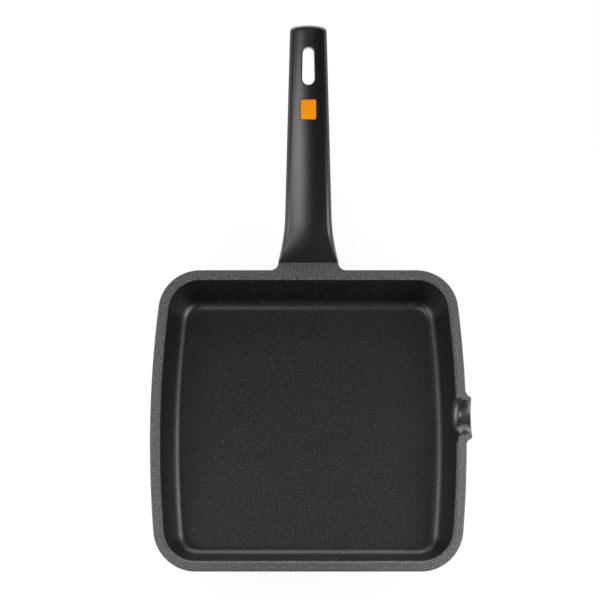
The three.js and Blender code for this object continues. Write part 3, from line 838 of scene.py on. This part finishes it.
def make_inlay():
    """The coloured inlay: its top follows the handle's crown, with a softened edge."""
    wide, long, thick = INLAY
    foot = rounded_rectangle(wide, long, INLAY_CORNER)
    rings = [[on_handle(x, INLAY_PLACE + y, -thick) for x, y in foot]]
    for inset_share, depth_share in INLAY_EDGE:
        inset = inset_share * INLAY_BEVEL
        outline = rounded_rectangle(wide - 2 * inset, long - 2 * inset, INLAY_CORNER - inset / 2)
        rings.append(inlay_ring(outline, -depth_share * INLAY_BEVEL))
    wide, long = wide - 2 * INLAY_BEVEL, long - 2 * INLAY_BEVEL
    for share in INLAY_TOP_SHARES:
        rings.append(inlay_ring(rounded_rectangle(wide * share, long * share, INLAY_CORNER * share), 0))
    made = new_object("inlay_tile", *loft(rings), [tile_plastic])
    shade(made, sharp=60)
    return made


def make_plate():
    rings = []
    for inset, z in ((PLATE_BEVEL, 0), (0, PLATE_BEVEL), (0, PLATE_THICKNESS)):
        size = PLATE_WIDTH - 2 * inset, PLATE_LENGTH - 2 * inset
        rings.append(at_height(rounded_rectangle(*size, PLATE_CORNER - inset, PLATE_CORNER_STEPS), z))
    made = new_object("base_plate", *loft(rings), [brushed_steel])
    cut(made, [on_studs(cylinder(STUD_RADIUS, *HOLE_SPAN, HOLE_STEPS))])
    shade(made, sharp=30)
    return made


def head_rings():
    bottom = HEAD_TOP - HEAD_HEIGHT
    crown = HEAD_HEIGHT / 2
    flat = HEAD_RADIUS - crown
    levels = [(share * flat, bottom) for share in HEAD_SHARES]
    for turn in spread(-QUARTER, 0, HEAD_ROUND_STEPS):
        levels.append((flat + crown * math.cos(turn), bottom + crown + crown * math.sin(turn)))
    levels += [(HEAD_RADIUS, HEAD_TOP - HEAD_EDGE), (HEAD_RADIUS - HEAD_EDGE, HEAD_TOP)]
    return [circle(radius, z, SCREW_STEPS) for radius, z in levels]


def thread_rings():
    """Rings whose radius follows the thread, which fades out over its last pitch."""
    count = int((SCREW_END - HEAD_TOP) / THREAD_PITCH) * THREAD_STEPS + 1
    rings = []
    for z in spread(HEAD_TOP + THREAD_START, SCREW_END, count):
        fade = min(1, (SCREW_END - z) / THREAD_PITCH)
        ring = []
        for point in circle(1, z, SCREW_STEPS):
            phase = (math.atan2(point.y, point.x) / (2 * math.pi) - z / THREAD_PITCH) % 1
            radius = SCREW_RADIUS - THREAD_DEPTH * (abs(2 * phase - 1) * fade + 1 - fade)
            ring.append(Vector((point.x * radius, point.y * radius, z)))
        rings.append(ring)
    return rings


def cross_cutters():
    """The two bars of the cross recess, each tapered towards its floor."""
    long, wide, deep = RECESS
    bottom = HEAD_TOP - HEAD_HEIGHT
    cutters = []
    for size in ((long, wide), (wide, long)):
        floor_size = [side - RECESS_TAPER for side in size]
        mouth = rounded_rectangle(*size, RECESS_CORNERS[0], RECESS_CORNER_STEPS)
        floor = rounded_rectangle(*floor_size, RECESS_CORNERS[1], RECESS_CORNER_STEPS)
        levels = ((mouth, bottom - RECESS_MARGIN), (mouth, bottom), (floor, bottom + deep))
        cutters.append(loft([at_height(outline, z) for outline, z in levels]))
    return cutters


def make_screw():
    """A pan-head screw with a cross recess and a thread, head downwards."""
    made = new_object("screw_body", *loft(head_rings() + thread_rings()), [turned_steel])
    cut(made, cross_cutters())
    made.data.transform(tang_frame(SCREW_ALONG))
    shade(made, sharp=40)
    return made


# Materials
NOISE_RANGE = (0.3, 0.7)
CLOUD_RANGE = (0.35, 0.65)
FLECK_SCALE = 560
PATCH_SCALE = 0.7 * FLECK_SCALE
COAT_RELIEF = 0.1 * MM
PLASTIC_RELIEF = 0.05 * MM
METAL_RELIEF = 0.02 * MM
METAL_BUMP = 0.15
RIM_FLECKS = ((0.3, 0.03), (0.45, 0.041), (0.55, 0.054), (0.7, 0.095))
FLOOR_FLECKS = ((0.3, 0.001), (0.45, 0.002), (0.58, 0.004), (0.72, 0.02))
SPOUT_FLECKS = ((0.3, 0.001), (0.45, 0.002), (0.58, 0.004), (0.72, 0.013))
ORANGE = (0.98, 0.305, 0.002)
DARK_ORANGE = (0.95, 0.295, 0.002)
BRASS = (0.66, 0.46, 0.18)
DARK_BRASS = (0.55, 0.37, 0.13)
BRUSHED = (40, 2500, 2500)
TURNED = (1500, 1500, 1500)
CAST = (1800, 1800, 1800)


def shader(name, **settings):
    made = bpy.data.materials.new(name)
    made.use_nodes = True
    principled = made.node_tree.nodes["Principled BSDF"]
    for socket, value in settings.items():
        principled.inputs[socket.replace("_", " ")].default_value = value
    return made, made.node_tree, principled


def node(tree, kind, links=None, **settings):
    made = tree.nodes.new("ShaderNode" + kind)
    for socket, value in settings.items():
        made.inputs[socket.replace("_", " ")].default_value = value
    for socket, source in (links or {}).items():
        tree.links.new(source, made.inputs[socket])
    return made


def grey(value):
    return value, value, value


def coloured(tree, principled, factor, stops):
    """Base colour from a ramp over a noise."""
    made = node(tree, "ValToRGB", {"Fac": factor})
    elements = made.color_ramp.elements
    while len(elements) < len(stops):
        elements.new(0.5)
    for element, (place, colour) in zip(elements, stops):
        element.position = place
        element.color = (*colour, 1)
    tree.links.new(made.outputs["Color"], principled.inputs["Base Color"])


def mapped(tree, value, span, goal):
    limits = {"From_Min": span[0], "From_Max": span[1], "To_Min": goal[0], "To_Max": goal[1]}
    return node(tree, "MapRange", {"Value": value}, **limits).outputs["Result"]


def roughened(tree, principled, factor, rough):
    """Roughness between two values, after a noise."""
    tree.links.new(mapped(tree, factor, NOISE_RANGE, rough), principled.inputs["Roughness"])


def bumped(tree, principled, height, strength, distance):
    bump = node(tree, "Bump", {"Height": height}, Strength=strength, Distance=distance)
    tree.links.new(bump.outputs["Normal"], principled.inputs["Normal"])


def place_of(tree, density=None):
    where = node(tree, "TexCoord").outputs["Object"]
    if density is None:
        return where
    return node(tree, "Mapping", {"Vector": where}, Scale=density).outputs["Vector"]


def grain(tree, where, scale, detail=2.0, roughness=0.6):
    settings = {"Scale": scale, "Detail": detail, "Roughness": roughness}
    return node(tree, "TexNoise", {"Vector": where}, **settings).outputs["Fac"]


def speckled_coat(name, flecks, rough, level, bump):
    """A sprayed coat: fine flecks of several greys over a slightly uneven surface."""
    made, tree, principled = shader(name, Specular_IOR_Level=level)
    where = place_of(tree)
    specks = grain(tree, where, FLECK_SCALE, detail=1.0, roughness=0.5)
    coloured(tree, principled, specks, [(place, grey(value)) for place, value in flecks])
    roughened(tree, principled, grain(tree, where, PATCH_SCALE), rough)
    bumped(tree, principled, specks, bump, COAT_RELIEF)
    return made


def plastic(name, colour, shadow, scale, rough, level, bump):
    """A moulded plastic with faint clouds and a fine grain."""
    made, tree, principled = shader(name, Specular_IOR_Level=level)
    where = place_of(tree)
    cloud = grain(tree, where, scale)
    coloured(tree, principled, cloud, list(zip(CLOUD_RANGE, (shadow, colour))))
    roughened(tree, principled, cloud, rough)
    bumped(tree, principled, grain(tree, where, scale * 2), bump, PLASTIC_RELIEF)
    return made


def metal(name, light, dark, density, rough):
    """A metal with fine marks, whose density along each axis is given."""
    made, tree, principled = shader(name, Metallic=1.0)
    marks = grain(tree, place_of(tree, density), 1.0, detail=4.0)
    coloured(tree, principled, marks, list(zip(NOISE_RANGE, (dark, light))))
    roughened(tree, principled, marks, rough)
    bumped(tree, principled, marks, METAL_BUMP, METAL_RELIEF)
    return made


rim_coat = speckled_coat("rim_coat", RIM_FLECKS, rough=(0.55, 0.65), level=0.55, bump=0.3)
floor_coat = speckled_coat("floor_coat", FLOOR_FLECKS, rough=(0.34, 0.42), level=0.6, bump=0.75)
spout_coat = speckled_coat("spout_coat", SPOUT_FLECKS, rough=(0.3, 0.36), level=0.9, bump=0.2)
grip_plastic = plastic(
    "grip_plastic", grey(0.006), grey(0.004), scale=600, rough=(0.28, 0.32), level=0.66, bump=0.05)
tile_plastic = plastic(
    "tile_plastic", ORANGE, DARK_ORANGE, scale=300, rough=(0.4, 0.46), level=0.05, bump=0.05)
brushed_steel = metal("brushed_steel", grey(0.62), grey(0.45), BRUSHED, rough=(0.26, 0.38))
turned_steel = metal("turned_steel", grey(0.6), grey(0.45), TURNED, rough=(0.24, 0.34))
bare_metal = metal("bare_metal", grey(0.6), grey(0.48), CAST, rough=(0.35, 0.45))
turned_brass = metal("turned_brass", BRASS, DARK_BRASS, TURNED, rough=(0.26, 0.36))

# Pieces of the object
PIECES = [
    (make_pan(), "pan_body", "pan_coating"),
    (make_plate(), "induction_plate", "base_steel"),
    (make_handle(), "handle", "handle_plastic"),
    (make_inlay(), "colour_inlay", "inlay_plastic"),
    (make_screw(), "handle_screw", "screw_steel"),
]
for piece, stands_for, slot in PIECES:
    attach(piece, "root")
    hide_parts(stands_for)

# CAD nodes that stay, with a finish
KEPT = {"spring_washer": turned_steel, "flat_washer": turned_steel, "threaded_insert": turned_brass}
for name, material in KEPT.items():
    kept = bpy.data.objects[name]
    kept.data.materials.clear()
    kept.data.materials.append(material)

# White floor that keeps the shadow
FLOOR_SIZE = 40.0
FLOOR_DROP = 0.2 * MM
FLOOR_GLOW = 0.93
FLOOR_COLOUR = (0.9, 0.9, 0.9, 1)
WHITE = (1, 1, 1, 1)


def combined(tree, operation, first, second):
    """The result of an operation on two values, of which the second may be a plain number."""
    made = node(tree, "Math", {0: first})
    made.operation = operation
    if isinstance(second, float):
        made.inputs[1].default_value = second
    else:
        tree.links.new(second, made.inputs[1])
    return made.outputs[0]


def seen_rays(tree):
    """One for the rays of the camera, of gloss and of glass, and nothing for those that light the object."""
    path = node(tree, "LightPath")
    seen = path.outputs["Is Camera Ray"]
    for kind in ("Is Glossy Ray", "Is Transmission Ray"):
        seen = combined(tree, "MAXIMUM", seen, path.outputs[kind])
    return seen


def mix(tree, share, lit, seen, output):
    """Send a mix of two shaders to the output, the second one by the share."""
    mixed = node(tree, "MixShader", {0: share, 1: lit.outputs[0], 2: seen.outputs[0]})
    tree.links.new(mixed.outputs[0], tree.nodes[output].inputs["Surface"])


def make_floor():
    material, tree, principled = shader(
        "floor_white", Base_Color=FLOOR_COLOUR, Roughness=0.8, Specular_IOR_Level=0.0)
    glow = node(tree, "Emission", Color=WHITE, Strength=1.0)
    share = combined(tree, "MULTIPLY", seen_rays(tree), FLOOR_GLOW)
    mix(tree, share, principled, glow, "Material Output")
    half = FLOOR_SIZE / 2
    corners = [(-half, -half, 0), (half, -half, 0), (half, half, 0), (-half, half, 0)]
    made = new_object("studio_floor", corners, [(0, 1, 2, 3)], [material])
    made.location.z = -FLOOR_DROP
    return made


floor = make_floor()

# Lamps: name, place, size, watts
LAMPS = [
    ("left_box", (-0.32, -0.06, 0.2), (0.38, 0.26), 1.2),
    ("right_box", (0.32, -0.06, 0.2), (0.38, 0.26), 1.9),
    ("left_side", (-0.9, 0.1, 0.75), (0.5, 0.5), 1.2),
    ("back_low", (0, 0.85, 0.2), (1.4, 0.3), 7.5),
    ("back_high", (0, 1.1, 0.75), (0.8, 0.5), 3.5),
    ("left_front", (-0.92, -0.69, 2.78), (1.35, 0.8), 22),
    ("top_box", (0.2, 0.42, 1.7), (0.5, 0.5), 0.6),
]
LAMP_AIM = Vector((0, 0.05, 0.03))


def make_lamp(name, place, size, watts):
    data = bpy.data.lights.new(name, "AREA")
    data.shape = "RECTANGLE"
    data.size, data.size_y = size
    data.energy = watts
    lamp = bpy.data.objects.new(name, data)
    lamp.location = place
    lamp.rotation_euler = (LAMP_AIM - Vector(place)).to_track_quat("-Z", "Y").to_euler()
    bpy.context.collection.objects.link(lamp)


for lamp in LAMPS:
    make_lamp(*lamp)

# World: white walls round the floor, which the camera and the gloss see, and a dim light from all sides
WORLD_LEVEL = 0.02
WALL_FADE = math.sin(math.radians(9)), math.sin(math.radians(13))


def make_world():
    world = bpy.data.worlds.new("studio")
    world.use_nodes = True
    tree = world.node_tree
    dim = tree.nodes["Background"]
    dim.inputs["Color"].default_value = WHITE
    dim.inputs["Strength"].default_value = WORLD_LEVEL
    white = node(tree, "Background", Color=WHITE, Strength=1.0)
    height = node(tree, "SeparateXYZ", {0: node(tree, "TexCoord").outputs["Generated"]}).outputs["Z"]
    walls = mapped(tree, height, WALL_FADE, (1.0, 0.0))
    share = combined(tree, "MULTIPLY", seen_rays(tree), walls)
    mix(tree, share, dim, white, "World Output")
    bpy.context.scene.world = world


make_world()

# Camera
CAMERA_ELEVATION = math.radians(74.9)
CAMERA_AIM = Vector((0, 107.55 * MM, 50 * MM))
CAMERA_DISTANCE = 1545 * MM
LENS = 102.5
SENSOR = 36
SHIFT_X = -0.0139


def make_camera():
    back = Vector((0, -math.cos(CAMERA_ELEVATION), math.sin(CAMERA_ELEVATION)))
    camera = bpy.data.objects.new("camera", bpy.data.cameras.new("camera"))
    camera.location = CAMERA_AIM + back * CAMERA_DISTANCE
    camera.rotation_euler = (-back).to_track_quat("-Z", "Y").to_euler()
    camera.data.lens = LENS
    camera.data.sensor_width = SENSOR
    camera.data.shift_x = SHIFT_X
    bpy.context.collection.objects.link(camera)
    bpy.context.scene.camera = camera


make_camera()
bpy.context.scene.view_settings.view_transform = "Standard"

bpy.context.view_layer.update()
